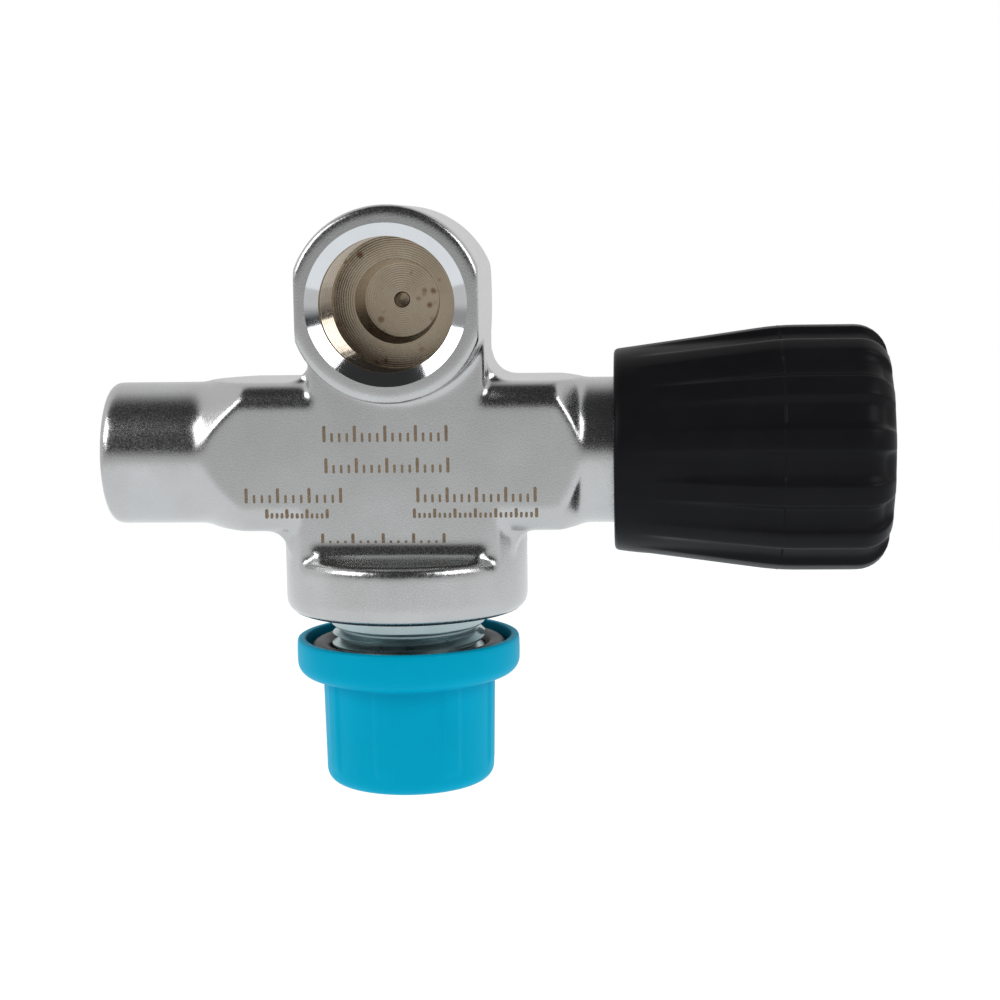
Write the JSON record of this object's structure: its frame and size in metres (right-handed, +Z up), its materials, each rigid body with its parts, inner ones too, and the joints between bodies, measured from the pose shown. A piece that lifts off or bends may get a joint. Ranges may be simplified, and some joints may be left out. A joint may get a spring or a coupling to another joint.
{
  "type": "scuba cylinder valve",
  "caption": "Chromed cross-flow scuba cylinder valve with round threaded outlet, plugged side branch, fluted rubber handwheel and screw cap on its neck thread.",
  "frame": {"origin": "where the neck axis meets the seating face under the collar", "axes": "+Z up along the neck axis, +X out along the handwheel, -Y out of the regulator outlet"},
  "size_m": [0.1249, 0.0429, 0.0936],
  "materials": {
    "chromed_brass": "satin chrome over blasted forging",
    "nickel_brass": "nickel-plated, turned",
    "bare_brass": "turned",
    "spring_steel": "drawn stainless",
    "seal_rubber": "smooth moulded",
    "grip_rubber": "semi-gloss moulded",
    "hard_nylon": "glass-filled, moulded",
    "seat_nylon": "machined",
    "ptfe": "smooth",
    "cap_plastic": "semi-matte moulded polyethylene"
  },
  "bodies": {
    "valve": {"valve_body": "chromed_brass", "gland_nut": "nickel_brass", "gland_o_ring": "seal_rubber", "side_port_plug": "nickel_brass", "side_port_o_ring": "seal_rubber"},
    "spindle": {"stem": "nickel_brass", "stem_inner_o_ring": "seal_rubber", "stem_outer_o_ring": "seal_rubber", "thrust_washer": "ptfe", "slip_washer": "ptfe", "knob_spring": "spring_steel", "spring_washer": "spring_steel", "knob_nut": "nickel_brass"},
    "seat": {"seat_carrier": "bare_brass", "seat_pad": "seat_nylon"},
    "handwheel": {"knob_centre": "hard_nylon", "knob_grip": "grip_rubber"},
    "neck_seal": {"neck_o_ring": "seal_rubber"},
    "cap": {"thread_cap": "cap_plastic"}
  },
  "joints": [
    {"name": "knob_turn", "type": "hinge", "parent": "valve", "child": "spindle", "pos_m": [0, 0, 0.0256], "axis": [1, 0, 0], "range_deg": [0, 1080]},
    {"name": "seat_travel", "type": "slide", "parent": "spindle", "child": "seat", "axis": [1, 0, 0], "range_m": [0, 0.0038]},
    {"name": "knob_pull", "type": "slide", "parent": "spindle", "child": "handwheel", "axis": [1, 0, 0], "range_m": [0, 0.0012], "stiffness_N_per_m": 3000, "springref_m": -0.002, "deforming": ["knob_spring"]},
    {"name": "cap_travel", "type": "slide", "parent": "valve", "child": "neck_seal", "axis": [0, 0, -1], "range_m": [0, 0.0301]},
    {"name": "cap_turn", "type": "hinge", "parent": "neck_seal", "child": "cap", "pos_m": [0, 0, 0], "axis": [0, 0, -1], "range_deg": [0, 5400]}
  ],
  "couplings": [
    {"joint": "seat_travel", "follows": "knob_turn", "m_per_rad": 0.00019894},
    {"joint": "cap_travel", "follows": "cap_turn", "m_per_rad": 0.00031831}
  ]
}
